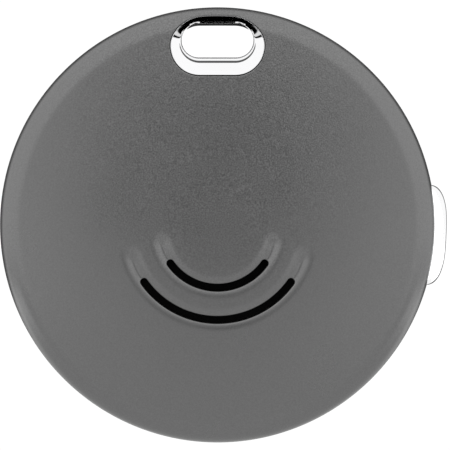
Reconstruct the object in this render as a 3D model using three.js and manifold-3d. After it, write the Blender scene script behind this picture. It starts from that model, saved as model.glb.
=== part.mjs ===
// A round key tag with a radio, a sounder, a push button and a replaceable coin cell.
//
// Every piece is drawn lying down: X right, Y up the tag's face, Z out of the face, in millimetres,
// with Z = 0 on the flat back. The last lines stand the tag up, as it hangs from a key ring.

import * as THREE from "three";
import { mergeVertices } from "three/addons/utils/BufferGeometryUtils.js";
import Module from "manifold-3d";

const wasm = await Module();
wasm.setup();

// Housing
const DISC_R = 15.25;
const THICKNESS = 6.0;
const DOME_R = 95;
const EDGE_R = 1.6;
const WALL = 0.6;
const SEAM_Z = 2.1;
const SEAM_GAP = 0.05;
const BACK_FLAT_R = 11.4;
const BACK_SKIN = 0.42;
const FIT = 0.04;

// Key-ring slot: the through hole, the inner end of its front funnel, and the funnel's rim
const HOLE = { width: 5.02, height: 2.4, y: 12.9 };
const THROAT = { width: 5.36, height: 2.89, y: 12.755 };
const RIM = { width: 6.49, height: 4.11, y: 12.53 };
const LINER_WALL = 0.35;
const RIM_LAND = 0.05;
const THROAT_Z = 4.45;
const COLLAR_Z = 4.27;

// Sounder slits: two arcs about one centre, each in a shallow groove
const SLIT_CENTRE_Y = -0.35;
const SLIT_RADII = [4.03, 6.28];
const SLIT_WIDTH = 0.52;
const SLIT_HALF_ANGLE = THREE.MathUtils.degToRad(54.7);
const GROOVE_WIDTH = 1.4;
const GROOVE_DEPTH = 0.12;
const GROOVE_HALF_ANGLE = THREE.MathUtils.degToRad(80);

// Side button, in a frame turned by BUTTON_ANGLE so that +X points out through it
const BUTTON_ANGLE = THREE.MathUtils.degToRad(-2.7);
const BUTTON_HALF_LENGTH = 3.5;
const BUTTON_INNER_X = 14.0;
const BUTTON_BASE_X = 14.84;
const BUTTON_PEAK = 1.21;
const BUTTON_Z = [2.2, 3.6];
const BUTTON_TRAVEL = 0.3;
const BUTTON_GAP = 0.05;

// Battery door and coin cell
const DOOR_R = 10.75;
const DOOR_OPENING_R = 10.85;
const DOOR_THICKNESS = 0.8;
const LUG_R = 11.3;
const LUG_Z = 0.45;
const LUG_HALF_ANGLE = THREE.MathUtils.degToRad(11);
const LUG_NOTCH_HALF_ANGLE = THREE.MathUtils.degToRad(13);
const LUG_ANGLES = [30, 150, 270].map((angle) => THREE.MathUtils.degToRad(angle));
const COIN_SLOT = { length: 8.6, width: 1.1, depth: 0.35 };
const CELL_R = 10;
const CELL_Z = 0.9;
const CELL_HEIGHT = 2.5;

// Frame and circuit board, both with a bite that clears the key-ring slot
const FRAME = { inner: 10.2, outer: 13.6, low: 1.0, high: 3.6 };
const BOARD_R = 13.3;
const BOARD_Z = [3.7, 4.2];
const BITE_HALF_WIDTH = 3.1;
const BITE_LOW_Y = 11.2;

// Three screws up through the frame into bosses on the front shell
const SCREW_CIRCLE_R = 12.1;
const SCREW_ANGLES = [50, 170, 290].map((angle) => THREE.MathUtils.degToRad(angle));
const SCREW = { headR: 0.95, shankR: 0.42, low: 1.1, headTop: 1.6, shankTop: 3.9, tip: 4.1 };
const BOSS_R = 0.95;
const BOSS_Z = 2.6;
const BOSS_HOLE_R = 0.5;
const BOSS_HOLE_TOP = 4.2;
const ROOM_R = 1.05;

// Seals, each a flat ring
const PERIMETER_SEAL = { inner: 14.0, outer: 14.52, low: 1.75, high: 2.12 };
const DOOR_SEAL = { inner: 10.25, outer: 10.65, low: 0.83, high: 0.97 };

// Switch behind the button, in the button's frame
const SWITCH = { innerX: 10.5, outerX: 12.5, halfWidth: 1.6, low: 2.2, high: 3.65 };
const PLUNGER = { halfWidth: 0.5, outerX: 13.15, low: 2.55, high: 3.15, room: 0.05 };

// Sounder
const SOUNDER_Y = -4.6;
const SOUNDER_R = 5.0;
const CERAMIC_R = 3.6;
const CONTACT_X = [-2.2, 2.2];

// Parts soldered on the board: name, centre, width, length, height and look
const CHIPS = [
  ["radio_chip", -3.6, 4.6, 3.2, 3.2, 0.45, "chip"],
  ["motion_sensor", 0.9, 6.9, 2.0, 2.0, 0.45, "chip"],
  ["crystal", -6.9, 3.4, 1.6, 1.2, 0.4, "steel"],
  ["chip_antenna", -7.4, 7.3, 1.6, 3.2, 0.4, "ceramic"],
];
const CAPACITOR = { count: 5, firstX: -4.6, pitch: 1.5, y: 2.0, width: 0.5, length: 1.0, height: 0.35 };
const SOLDER_GAP = 0.02;

// Facets round a full turn: of the housing, of what sits inside it, and of small round parts
const ROUND_STEPS = 72;
const INNER_STEPS = 48;
const SMALL_STEPS = 16;

const LOOKS = {
  graphite: { color: 0x6e6e6e, metalness: 0.6, roughness: 0.5 },
  chrome: { color: 0xe8e8ea, metalness: 1.0, roughness: 0.08 },
  darkPlastic: { color: 0x2c2d2f, metalness: 0.0, roughness: 0.45 },
  framePlastic: { color: 0x1c1d1f, metalness: 0.0, roughness: 0.6 },
  rubber: { color: 0x17181a, metalness: 0.0, roughness: 0.85 },
  steel: { color: 0xb9bbbd, metalness: 0.9, roughness: 0.3 },
  brass: { color: 0xc9a24e, metalness: 0.9, roughness: 0.35 },
  board: { color: 0x14482c, metalness: 0.1, roughness: 0.5 },
  ceramic: { color: 0xe6e0d2, metalness: 0.0, roughness: 0.5 },
  chip: { color: 0x1a1b1e, metalness: 0.1, roughness: 0.4 },
  ferrite: { color: 0x3a3c40, metalness: 0.2, roughness: 0.6 },
  capacitor: { color: 0x9a7a55, metalness: 0.1, roughness: 0.5 },
  mesh: { color: 0x0b0b0c, metalness: 0.0, roughness: 0.95 },
};

const tag = new THREE.Group();

// --- Solids ---------------------------------------------------------------------------------------

// A closed geometry as a solid that can be joined and cut.
function solid(geometry) {
  const plain = geometry.clone();
  plain.deleteAttribute("normal");
  plain.deleteAttribute("uv");
  const merged = mergeVertices(plain, 1e-4);
  const corners = merged.index.array;
  const triangles = [];
  for (let i = 0; i < corners.length; i += 3) {
    const [a, b, c] = [corners[i], corners[i + 1], corners[i + 2]];
    if (a !== b && b !== c && c !== a) triangles.push(a, b, c);
  }
  return new wasm.Manifold(
    new wasm.Mesh({
      numProp: 3,
      vertProperties: new Float32Array(merged.attributes.position.array),
      triVerts: new Uint32Array(triangles),
    }),
  );
}

function addPiece(name, shape, look) {
  const made = shape.getMesh();
  const geometry = new THREE.BufferGeometry();
  geometry.setAttribute("position", new THREE.BufferAttribute(made.vertProperties, 3));
  geometry.setIndex(new THREE.BufferAttribute(made.triVerts, 1));
  geometry.computeVertexNormals();
  const mesh = new THREE.Mesh(geometry, new THREE.MeshStandardMaterial(LOOKS[look]));
  mesh.name = name;
  tag.add(mesh);
}

// A body of revolution about Z from a list of [radius, z], taken anticlockwise.
function turned(profile, steps = ROUND_STEPS) {
  const points = profile.map(([radius, z]) => new THREE.Vector2(radius, z));
  return solid(new THREE.LatheGeometry(points, steps).rotateX(Math.PI / 2));
}

// A flat ring or tube, a closed profile that doesn't touch the axis.
function ring(inner, outer, low, high, steps = ROUND_STEPS) {
  return turned([[inner, low], [outer, low], [outer, high], [inner, high], [inner, low]], steps);
}

function disc(radius, low, high, steps = ROUND_STEPS) {
  return turned([[0, low], [radius, low], [radius, high], [0, high]], steps);
}

function prism(outline, low, high) {
  const shape = new THREE.Shape(outline);
  const geometry = new THREE.ExtrudeGeometry(shape, { depth: high - low, bevelEnabled: false });
  return solid(geometry.translate(0, 0, low));
}

// A box given by its lowest and highest corners.
function block([x0, y0, z0], [x1, y1, z1]) {
  const geometry = new THREE.BoxGeometry(x1 - x0, y1 - y0, z1 - z0);
  return solid(geometry.translate((x0 + x1) / 2, (y0 + y1) / 2, (z0 + z1) / 2));
}

// Turns a solid about Z by an angle in radians.
function spun(shape, angle) {
  return shape.rotate([0, 0, THREE.MathUtils.radToDeg(angle)]);
}

function onCircle(radius, angle) {
  return [radius * Math.cos(angle), radius * Math.sin(angle)];
}

// Points of an arc about (0, centreY).
function arcPoints(centreY, radius, from, to, steps) {
  return Array.from({ length: steps + 1 }, (_, i) => {
    const angle = from + ((to - from) * i) / steps;
    return new THREE.Vector2(radius * Math.cos(angle), centreY + radius * Math.sin(angle));
  });
}

// A wedge from the axis, halfAngle either side of the middle angle.
function sector(middle, halfAngle, radius, low, high) {
  const rim = arcPoints(0, radius, middle - halfAngle, middle + halfAngle, 12);
  return prism([new THREE.Vector2(0, 0), ...rim], low, high);
}

// --- Outer surfaces -------------------------------------------------------------------------------

// The front surface, or the one `depth` inside it, from the axis to the side wall, as [radius, z].
function frontProfile(depth) {
  const edgeR = DISC_R - EDGE_R;
  const domeZ = THICKNESS - DOME_R;
  const turn = Math.asin(edgeR / (DOME_R - EDGE_R));
  const edgeZ = domeZ + Math.sqrt((DOME_R - EDGE_R) ** 2 - edgeR ** 2);
  const points = [];
  for (let i = 0; i < 3; i += 1) {
    const angle = (turn * i) / 3;
    points.push([(DOME_R - depth) * Math.sin(angle), domeZ + (DOME_R - depth) * Math.cos(angle)]);
  }
  for (let i = 0; i <= 5; i += 1) {
    const angle = turn + ((Math.PI / 2 - turn) * i) / 5;
    const reach = EDGE_R - depth;
    points.push([edgeR + reach * Math.sin(angle), edgeZ + reach * Math.cos(angle)]);
  }
  return points;
}

// The rear corner, a quarter ellipse from the flat back out to the side wall.
function rearProfile(sideR, lowZ) {
  return Array.from({ length: 6 }, (_, i) => {
    const angle = (Math.PI / 2) * (i / 5);
    const radius = BACK_FLAT_R + (sideR - BACK_FLAT_R) * Math.sin(angle);
    return [radius, SEAM_Z - (SEAM_Z - lowZ) * Math.cos(angle)];
  });
}

function wholeTag() {
  return turned([[0, 0], ...rearProfile(DISC_R, 0), ...frontProfile(0).reverse()]);
}

// --- Key-ring slot --------------------------------------------------------------------------------

// An outline with round ends and a flat bottom. A bowed one follows the tag's rim along its top.
function slotOutline({ width, height, y }, grow = 0, bowed = false) {
  const endR = height / 2 + grow;
  const half = width / 2 - height / 2;
  const right = arcPoints(y, endR, -Math.PI / 2, Math.PI / 2, 10);
  const left = arcPoints(y, endR, Math.PI / 2, (Math.PI * 3) / 2, 10);
  right.forEach((point) => point.setX(point.x + half));
  left.forEach((point) => point.setX(point.x - half));
  const top = [0.5, 0, -0.5].map((part) => new THREE.Vector2(half * part, y + endR));
  const outline = [...right, ...top, ...left];
  if (bowed) {
    outline.forEach((point) => {
      const drop = point.x ** 2 / (2 * (y + endR));
      point.setY(point.y - drop * Math.max(0, (point.y - y) / endR));
    });
  }
  return outline;
}

// The space of the front funnel: from the throat, through the rim on the domed face, and past it.
function funnel() {
  const past = 2;
  const inside = slotOutline(THROAT);
  const outside = slotOutline(RIM, 0, true);
  const shape = new THREE.Shape(inside);
  const geometry = new THREE.ExtrudeGeometry(shape, { depth: 1, bevelEnabled: false });
  const position = geometry.attributes.position;
  const corner = new THREE.Vector2();
  for (let i = 0; i < position.count; i += 1) {
    const isRim = position.getZ(i) > 0.5;
    corner.fromBufferAttribute(position, i);
    const nearest = inside.findIndex((point) => point.distanceTo(corner) < 1e-4);
    const rim = outside[nearest];
    const height = faceHeight(rim.length()) - THROAT_Z;
    corner.lerp(rim, isRim ? past : 0);
    position.setXYZ(i, corner.x, corner.y, THROAT_Z + (isRim ? past * height : 0));
  }
  return solid(geometry);
}

// Height of the domed face at a distance from the axis, rounded edge included.
function faceHeight(radius) {
  const profile = frontProfile(0);
  const next = profile.findIndex(([reach]) => reach >= radius);
  const [r0, z0] = profile[next - 1];
  const [r1, z1] = profile[next];
  return z0 + ((z1 - z0) * (radius - r0)) / (r1 - r0);
}

function makeLiner() {
  const tube = prism(slotOutline(HOLE, LINER_WALL), -1, COLLAR_Z + 0.1);
  const collar = prism(slotOutline(RIM, RIM_LAND, true), COLLAR_Z, THICKNESS + 1);
  const hole = prism(slotOutline(HOLE), -2, THICKNESS + 2);
  const above = prism(slotOutline(THROAT), THROAT_Z, THICKNESS + 2);
  addPiece(
    "key_slot_liner",
    tube.add(collar).intersect(wholeTag()).subtract(hole).subtract(funnel()).subtract(above),
    "chrome",
  );
}

// --- Shells ---------------------------------------------------------------------------------------

function slitOutline(radius, width, halfAngle) {
  const from = -Math.PI / 2 - halfAngle;
  const to = -Math.PI / 2 + halfAngle;
  const outer = arcPoints(SLIT_CENTRE_Y, radius + width / 2, from, to, 14);
  const inner = arcPoints(SLIT_CENTRE_Y, radius - width / 2, to, from, 14);
  const cap = (angle) => {
    const [x, y] = onCircle(radius, angle);
    const start = angle === to ? angle : angle + Math.PI;
    const points = arcPoints(SLIT_CENTRE_Y + y, width / 2, start, start + Math.PI, 6).slice(1, -1);
    points.forEach((point) => point.setX(point.x + x));
    return points;
  };
  return [...outer, ...cap(to), ...inner, ...cap(from)];
}

function groove(radius) {
  const half = GROOVE_WIDTH / 2;
  const height = faceHeight(radius - SLIT_CENTRE_Y);
  const profile = [
    [radius - SLIT_WIDTH / 2, height - GROOVE_DEPTH],
    [radius + SLIT_WIDTH / 2, height - GROOVE_DEPTH],
    [radius + half, height + 0.02],
    [radius + half, height + 1],
    [radius - half, height + 1],
    [radius - half, height + 0.02],
    [radius - SLIT_WIDTH / 2, height - GROOVE_DEPTH],
  ];
  const wedge = sector(-Math.PI / 2, GROOVE_HALF_ANGLE, 12, 0, THICKNESS + 2);
  return turned(profile, INNER_STEPS).intersect(wedge).translate([0, SLIT_CENTRE_Y, 0]);
}

function makeFrontShell() {
  const low = SEAM_Z + SEAM_GAP;
  const outside = [[DISC_R, low], ...frontProfile(0).reverse()];
  const inside = [...frontProfile(WALL), [DISC_R - WALL, low]];
  let shell = turned([...inside, ...outside]);
  for (const angle of SCREW_ANGLES) {
    const [x, y] = onCircle(SCREW_CIRCLE_R, angle);
    const post = disc(BOSS_R, BOSS_Z, 4.7, SMALL_STEPS);
    const boss = post.subtract(disc(BOSS_HOLE_R, 0, BOSS_HOLE_TOP, SMALL_STEPS));
    shell = shell.add(boss.translate([x, y, 0]));
  }
  for (const radius of SLIT_RADII) {
    shell = shell.subtract(groove(radius));
    shell = shell.subtract(prism(slitOutline(radius, SLIT_WIDTH, SLIT_HALF_ANGLE), 4.8, THICKNESS + 1));
  }
  shell = shell.subtract(prism(slotOutline(RIM, RIM_LAND + FIT, true), 3.45, THICKNESS + 1));
  const reach = BUTTON_HALF_LENGTH + BUTTON_GAP;
  const opening = block([13, -reach, 0], [17, reach, BUTTON_Z[1] + BUTTON_GAP]);
  addPiece("front_shell", shell.subtract(spun(opening, BUTTON_ANGLE)), "graphite");
}

function makeRearShell() {
  const profile = [
    [DOOR_OPENING_R, 0],
    ...rearProfile(DISC_R, 0),
    ...rearProfile(DISC_R - WALL, BACK_SKIN).reverse(),
    [DOOR_OPENING_R, BACK_SKIN],
    [DOOR_OPENING_R, 0],
  ];
  let shell = turned(profile);
  for (const angle of LUG_ANGLES) {
    const wedge = sector(angle, LUG_NOTCH_HALF_ANGLE, 12, -1, 1);
    shell = shell.subtract(disc(LUG_R + 0.05, -1, 1).intersect(wedge));
  }
  shell = shell.subtract(prism(slotOutline(HOLE, LINER_WALL + FIT), -1, 3));
  addPiece("rear_shell", shell, "darkPlastic");
}

function makePerimeterSeal() {
  const passage = prism(slotOutline(HOLE, LINER_WALL + 0.08), 0, 4);
  const { inner, outer, low, high } = PERIMETER_SEAL;
  const seal = ring(inner, outer, low, high, INNER_STEPS);
  addPiece("perimeter_seal", seal.subtract(passage), "rubber");
}

// --- Inner frame and screws -----------------------------------------------------------------------

function bite() {
  return block([-BITE_HALF_WIDTH, BITE_LOW_Y, 0], [BITE_HALF_WIDTH, DISC_R, THICKNESS]);
}

function makeInnerFrame() {
  const { inner, outer, low, high } = FRAME;
  let frame = ring(inner, outer, low, high);
  frame = frame.subtract(bite());
  const switchPocket = block([10.42, -2.1, 2.15], [16, 2.1, 5]);
  frame = frame.subtract(spun(switchPocket, BUTTON_ANGLE));
  for (const angle of SCREW_ANGLES) {
    const [x, y] = onCircle(SCREW_CIRCLE_R, angle);
    const headRoom = disc(ROOM_R, 0, SCREW.headTop + 0.05, SMALL_STEPS);
    const shankRoom = disc(BOSS_HOLE_R, 0, THICKNESS, SMALL_STEPS);
    const bossRoom = disc(ROOM_R, BOSS_Z - 0.05, THICKNESS, SMALL_STEPS);
    frame = frame.subtract(headRoom.add(shankRoom).add(bossRoom).translate([x, y, 0]));
  }
  addPiece("inner_frame", frame, "framePlastic");
}

function makeScrews() {
  const { headR, shankR, low, headTop, shankTop, tip } = SCREW;
  const profile = [[0, low], [headR, low], [headR, headTop], [shankR, headTop], [shankR, shankTop], [0, tip]];
  const recess = block([-0.55, -0.11, 1], [0.55, 0.11, 1.35]);
  const cross = recess.add(spun(recess, Math.PI / 2));
  SCREW_ANGLES.forEach((angle, i) => {
    const [x, y] = onCircle(SCREW_CIRCLE_R, angle);
    const screw = turned(profile, SMALL_STEPS).subtract(cross);
    addPiece(`frame_screw_${i + 1}`, screw.translate([x, y, 0]), "steel");
  });
}

// --- Side button and switch -----------------------------------------------------------------------

function addTurnedPiece(name, shape, look) {
  addPiece(name, spun(shape, BUTTON_ANGLE), look);
}

// The head's face bulges outwards and falls away towards both ends.
function buttonOutline() {
  const steps = 16;
  const face = Array.from({ length: steps + 1 }, (_, i) => {
    const part = (2 * i) / steps - 1;
    const rise = BUTTON_PEAK * Math.sqrt(1 - Math.abs(part) ** 3);
    return new THREE.Vector2(BUTTON_BASE_X + rise, part * BUTTON_HALF_LENGTH);
  });
  return [
    new THREE.Vector2(BUTTON_INNER_X, -BUTTON_HALF_LENGTH),
    ...face,
    new THREE.Vector2(BUTTON_INNER_X, BUTTON_HALF_LENGTH),
  ];
}

function makeButton() {
  const head = prism(buttonOutline(), BUTTON_Z[0], BUTTON_Z[1]);
  const flange = block([13.75, -3.65, 2.3], [14.1, 3.65, 3.75]);
  const stem = block([13.2, -0.8, 2.5], [13.9, 0.8, 3.3]);
  addTurnedPiece("button_cap", head.add(flange).add(stem), "chrome");
  const passage = block([12, -0.85, 2.45], [15, 0.85, 3.35]);
  addTurnedPiece("button_seal", block([13.16, -2, 2.2], [13.4, 2, 3.6]).subtract(passage), "rubber");
}

function makeSwitch() {
  const { innerX, outerX, halfWidth, low, high } = SWITCH;
  const body = block([innerX, -halfWidth, low], [outerX, halfWidth, high]);
  const side = PLUNGER.halfWidth + PLUNGER.room;
  const pocketX = outerX - BUTTON_TRAVEL - 0.03;
  const pocket = block([pocketX, -side, PLUNGER.low - PLUNGER.room], [13, side, PLUNGER.high + PLUNGER.room]);
  addTurnedPiece("switch_body", body.subtract(pocket), "steel");
  const nearest = [outerX, -PLUNGER.halfWidth, PLUNGER.low];
  const furthest = [PLUNGER.outerX, PLUNGER.halfWidth, PLUNGER.high];
  addTurnedPiece("switch_plunger", block(nearest, furthest), "framePlastic");
}

// --- Circuit board --------------------------------------------------------------------------------

function makeBoard() {
  let board = disc(BOARD_R, BOARD_Z[0], BOARD_Z[1]);
  board = board.subtract(bite());
  for (const angle of SCREW_ANGLES) {
    const [x, y] = onCircle(SCREW_CIRCLE_R, angle);
    board = board.subtract(disc(ROOM_R, 0, THICKNESS, SMALL_STEPS).translate([x, y, 0]));
  }
  addPiece("main_pcb", board, "board");
}

// A flat part soldered on top of the board, centred at x, y.
function addChip(name, x, y, width, length, height, look) {
  const low = BOARD_Z[1] + SOLDER_GAP;
  const shape = block([x - width / 2, y - length / 2, low], [x + width / 2, y + length / 2, low + height]);
  addPiece(name, shape, look);
}

function makeBoardParts() {
  for (const chip of CHIPS) addChip(...chip);
  const { count, firstX, pitch, y, width, length, height } = CAPACITOR;
  for (let i = 0; i < count; i += 1) {
    addChip(`capacitor_${i + 1}`, firstX + pitch * i, y, width, length, height, "capacitor");
  }
  const low = BOARD_Z[1] + SOLDER_GAP;
  const coil = disc(1.3, low, low + 0.12, SMALL_STEPS).add(disc(0.8, low, low + 0.4, SMALL_STEPS));
  const top = disc(1.3, low + 0.35, low + 0.47, SMALL_STEPS);
  addPiece("boost_coil", coil.add(top).translate([4.6, 5.2, 0]), "ferrite");
}

// --- Sounder --------------------------------------------------------------------------------------

function makeSounder() {
  const place = [0, SOUNDER_Y, 0];
  addPiece("piezo_plate", disc(SOUNDER_R, 4.58, 4.7, INNER_STEPS).translate(place), "brass");
  addPiece("piezo_ceramic", disc(CERAMIC_R, 4.4, 4.56, INNER_STEPS).translate(place), "ceramic");
  addPiece("sounder_gasket", ring(4.4, 4.95, 4.72, 4.86, INNER_STEPS).translate(place), "rubber");
  const band = slitOutline(5.15, 3.4, THREE.MathUtils.degToRad(50));
  addPiece("acoustic_mesh", prism(band, 5.0, 5.07), "mesh");
  for (const [i, x] of CONTACT_X.entries()) {
    const foot = block([x - 0.5, SOUNDER_Y - 0.4, 4.22], [x + 0.5, SOUNDER_Y + 0.4, 4.3]);
    const tip = block([x - 0.5, SOUNDER_Y - 0.4, 4.22], [x - 0.2, SOUNDER_Y + 0.4, 4.38]);
    addPiece(`sounder_contact_${i + 1}`, foot.add(tip), "brass");
  }
}

// --- Coin cell and its contacts -------------------------------------------------------------------

function makeCell() {
  const low = CELL_Z;
  const high = CELL_Z + CELL_HEIGHT;
  const can = [
    [0, low], [CELL_R - 0.3, low], [CELL_R, low + 0.3], [CELL_R, high - 0.2],
    [CELL_R - 0.25, high - 0.2], [CELL_R - 0.25, low + 0.25], [0, low + 0.25],
  ];
  addPiece("cell_can", turned(can, INNER_STEPS), "steel");
  const gasket = ring(9.3, CELL_R - 0.28, low + 0.3, high - 0.22, INNER_STEPS);
  addPiece("cell_gasket", gasket, "framePlastic");
  const cap = [
    [0, high - 0.25], [8.85, high - 0.25], [9.0, high - 0.4], [9.0, low + 0.4],
    [9.25, low + 0.4], [9.25, high - 0.3], [8.95, high], [0, high],
  ];
  addPiece("cell_cap", turned(cap, INNER_STEPS), "steel");
  addPiece("cell_core", disc(8.8, low + 0.3, high - 0.3, INNER_STEPS), "chip");
}

// A leaf spring with one raised foot under the board and a tip towards the cell.
function leaf(length, width, lowZ) {
  const high = BOARD_Z[0] - 0.03;
  const outline = [
    [0, high - 0.1], [length * 0.6, high - 0.1], [length * 0.8, lowZ], [length, lowZ],
    [length, lowZ + 0.1], [length * 0.84, lowZ + 0.1], [length * 0.64, high], [0, high],
  ].map(([x, z]) => new THREE.Vector2(x, z));
  const shape = new THREE.Shape(outline);
  const geometry = new THREE.ExtrudeGeometry(shape, { depth: width, bevelEnabled: false });
  return solid(geometry.translate(0, 0, -width / 2).rotateX(Math.PI / 2));
}

function makeContacts() {
  addPiece("negative_contact", leaf(5, 1.6, CELL_Z + CELL_HEIGHT + 0.04).translate([-4, 0, 0]), "brass");
  const positive = leaf(3.2, 1.4, CELL_Z + CELL_HEIGHT - 0.16).translate([6.75, 0, 0]);
  addPiece("positive_contact", spun(positive, THREE.MathUtils.degToRad(230)), "brass");
}

// --- Battery door ---------------------------------------------------------------------------------

function makeDoor() {
  let door = disc(DOOR_R, 0, DOOR_THICKNESS);
  for (const angle of LUG_ANGLES) {
    const wedge = sector(angle, LUG_HALF_ANGLE, 12, 0, 2);
    door = door.add(disc(LUG_R, LUG_Z, DOOR_THICKNESS).intersect(wedge));
  }
  const { length, width, depth } = COIN_SLOT;
  const slot = { width: length, height: width, y: 0 };
  door = door.subtract(prism(slotOutline(slot), -1, depth));
  addPiece("battery_door", door, "steel");
  const { inner, outer, low, high } = DOOR_SEAL;
  addPiece("door_seal", ring(inner, outer, low, high, INNER_STEPS), "rubber");
}

makeFrontShell();
makeRearShell();
makeLiner();
makePerimeterSeal();
makeInnerFrame();
makeScrews();
makeButton();
makeSwitch();
makeBoard();
makeBoardParts();
makeSounder();
makeCell();
makeContacts();
makeDoor();

// The tag stands up with its face to -Y. The origin is on the upper wall of the key-ring hole,
// where the ring carries the tag, halfway between the face and the back.
tag.rotation.x = Math.PI / 2;
tag.position.set(0, THICKNESS / 2, -(HOLE.y + HOLE.height / 2));

const keyTag = new THREE.Group();
keyTag.add(tag);

export default keyTag;
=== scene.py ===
"""Looks of a round key tag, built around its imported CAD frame.

Shapes are drawn lying down, in millimetres, as the CAD is: X right, Y up the tag's face, Z out of the
face, with Z = 0 on the flat back and the disc's axis at X = Y = 0. place() stands them up in metres.
"""

import math

import bmesh
import bpy
import numpy as np
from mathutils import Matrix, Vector
from mathutils.geometry import delaunay_2d_cdt


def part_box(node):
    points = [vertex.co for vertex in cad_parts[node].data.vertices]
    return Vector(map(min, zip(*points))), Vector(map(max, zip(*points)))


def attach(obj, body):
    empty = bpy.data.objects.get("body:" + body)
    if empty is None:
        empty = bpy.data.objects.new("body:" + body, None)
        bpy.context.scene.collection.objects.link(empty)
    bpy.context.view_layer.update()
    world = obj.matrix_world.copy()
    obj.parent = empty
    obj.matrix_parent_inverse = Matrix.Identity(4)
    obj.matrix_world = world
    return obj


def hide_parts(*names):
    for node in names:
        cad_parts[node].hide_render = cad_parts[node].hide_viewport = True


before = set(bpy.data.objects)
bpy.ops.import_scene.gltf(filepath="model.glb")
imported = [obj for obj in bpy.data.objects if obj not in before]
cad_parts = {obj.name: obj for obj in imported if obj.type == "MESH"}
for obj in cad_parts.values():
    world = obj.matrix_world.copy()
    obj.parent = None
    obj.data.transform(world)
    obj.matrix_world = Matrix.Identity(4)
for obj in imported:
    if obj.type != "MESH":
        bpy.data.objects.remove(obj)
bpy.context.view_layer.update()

MM = 0.001
TAU = 2 * math.pi
DOWN = -math.pi / 2

face_low, face_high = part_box("front_shell")
rear_low, rear_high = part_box("rear_shell")
AXIS_X = (face_low.x + face_high.x) / 2
AXIS_Z = (face_low.z + face_high.z) / 2
BACK_Y = rear_high.y


def place(points):
    """Row-frame metres of an (n, 3) array of drawing points in millimetres."""
    p = np.asarray(points, dtype=float) * MM
    return np.column_stack((AXIS_X + p[:, 0], BACK_Y - p[:, 2], AXIS_Z + p[:, 1]))


def drawn(corner):
    """The drawing point, in millimetres, of a place in the row frame."""
    return Vector(((corner.x - AXIS_X) / MM, (corner.z - AXIS_Z) / MM, (BACK_Y - corner.y) / MM))


def drawn_box(node):
    """The low and high corners of a CAD node's box, as drawing points."""
    low, high = (drawn(corner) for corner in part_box(node))
    return Vector(map(min, low, high)), Vector(map(max, low, high))


# --- Sizes: the overall ones from the frame, the rest as in the CAD ---------------------------------

DISC_R = (face_high.x - face_low.x) / 2 / MM
THICKNESS = (BACK_Y - face_low.y) / MM
SEAM_Z = (BACK_Y - rear_low.y) / MM
SHELL_LOW_Z = (BACK_Y - face_high.y) / MM
DOME_R = 95.0
EDGE_R = 1.6
WALL = 0.6
BACK_FLAT_R = 11.4
BACK_SKIN = 0.42
EDGE_CENTRE_R = DISC_R - EDGE_R
EDGE_TURN = math.asin(EDGE_CENTRE_R / (DOME_R - EDGE_R))
EDGE_CENTRE_Z = THICKNESS - DOME_R + math.sqrt((DOME_R - EDGE_R) ** 2 - EDGE_CENTRE_R**2)

# Key-ring slot outlines: width, height, height of the middle above the disc's
HOLE = (5.02, 2.4, 12.9)
THROAT = (5.36, 2.89, 12.755)
RIM = (6.49, 4.11, 12.53)
COLLAR_Z = 4.27  # where the liner's collar meets the tube round the hole

SLIT_CENTRE_Y = -0.35
SLIT_RADII = (4.03, 6.28)
SLIT_WIDTH = 0.5
SLIT_HALF_ANGLE = math.radians(54.7)
GROOVE_WIDTH = 1.6
GROOVE_DEPTH = 0.22
GROOVE_FADES = [(math.radians(74), math.radians(88)), (math.radians(68), math.radians(80))]

BUTTON_ANGLE = math.radians(-2.7)
BUTTON_HALF_LENGTH = 3.5
BUTTON_Z = (2.2, 3.6)
BUTTON_INNER_X = 14.0
BUTTON_BASE_X = 14.84  # the bulge's foot at its ends, and its height in the middle
BUTTON_PEAK = 1.21
BUTTON_FLANGE = ((13.75, -3.65, 2.3), (14.1, 3.65, 3.75))
BUTTON_STEM = ((13.2, -0.8, 2.5), (13.9, 0.8, 3.3))

DOOR_R = 10.75
DOOR_OPENING_R = 10.85
LUG_R = 11.3
LUG_Z = 0.45
LUG_ANGLES = [math.radians(angle) for angle in (30, 150, 270)]
LUG_HALF_ANGLE = math.radians(11)
NOTCH_HALF_ANGLE = math.radians(13)
COIN_SLOT = (8.6, 1.1, 0.35)  # length, width, depth

FRAME_BAY_R = 10.2
FRAME_STEP_Z = 2.15
FRAME_CLEARANCE = 0.08  # outside the frame, beside the button's flange
SWITCH_POCKET = ((10.42, -2.1), (16.0, -2.1), (16.0, 2.1), (10.42, 2.1))
BITE_HALF_WIDTH = 3.1  # the bite that clears the key-ring slot, in the board and the frame
BITE_LOW_Y = 11.2
SCREW_CIRCLE_R = 12.1
SCREW_ANGLES = [math.radians(angle) for angle in (50, 170, 290)]
SCREW_HOLE_R = 1.05
SHARP_TURN = math.radians(38)


# --- Mesh making ------------------------------------------------------------------------------------

def add_mesh(name, points, faces, body, material, replaces=()):
    """One smooth-shaded piece from drawing points, riding on a body."""
    mesh = bpy.data.meshes.new(name)
    mesh.from_pydata(place(points).tolist(), [], [list(map(int, face)) for face in faces])
    work = bmesh.new()
    work.from_mesh(mesh)
    bmesh.ops.remove_doubles(work, verts=work.verts, dist=1e-7)
    bmesh.ops.recalc_face_normals(work, faces=work.faces)
    work.to_mesh(mesh)
    work.free()
    mesh.shade_smooth()
    mesh.set_sharp_from_angle(angle=SHARP_TURN)
    piece = bpy.data.objects.new(name, mesh)
    bpy.context.collection.objects.link(piece)
    mesh.materials.append(material)
    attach(piece, body)
    if replaces:
        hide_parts(*replaces)
    return piece


def arc(cx, cy, radius, start, end, steps):
    turn = np.linspace(start, end, steps + 1)
    return np.column_stack((cx + radius * np.cos(turn), cy + radius * np.sin(turn)))


def circle(cx, cy, radius, steps=48):
    return arc(cx, cy, radius, 0, TAU, steps)[:-1]


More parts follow.
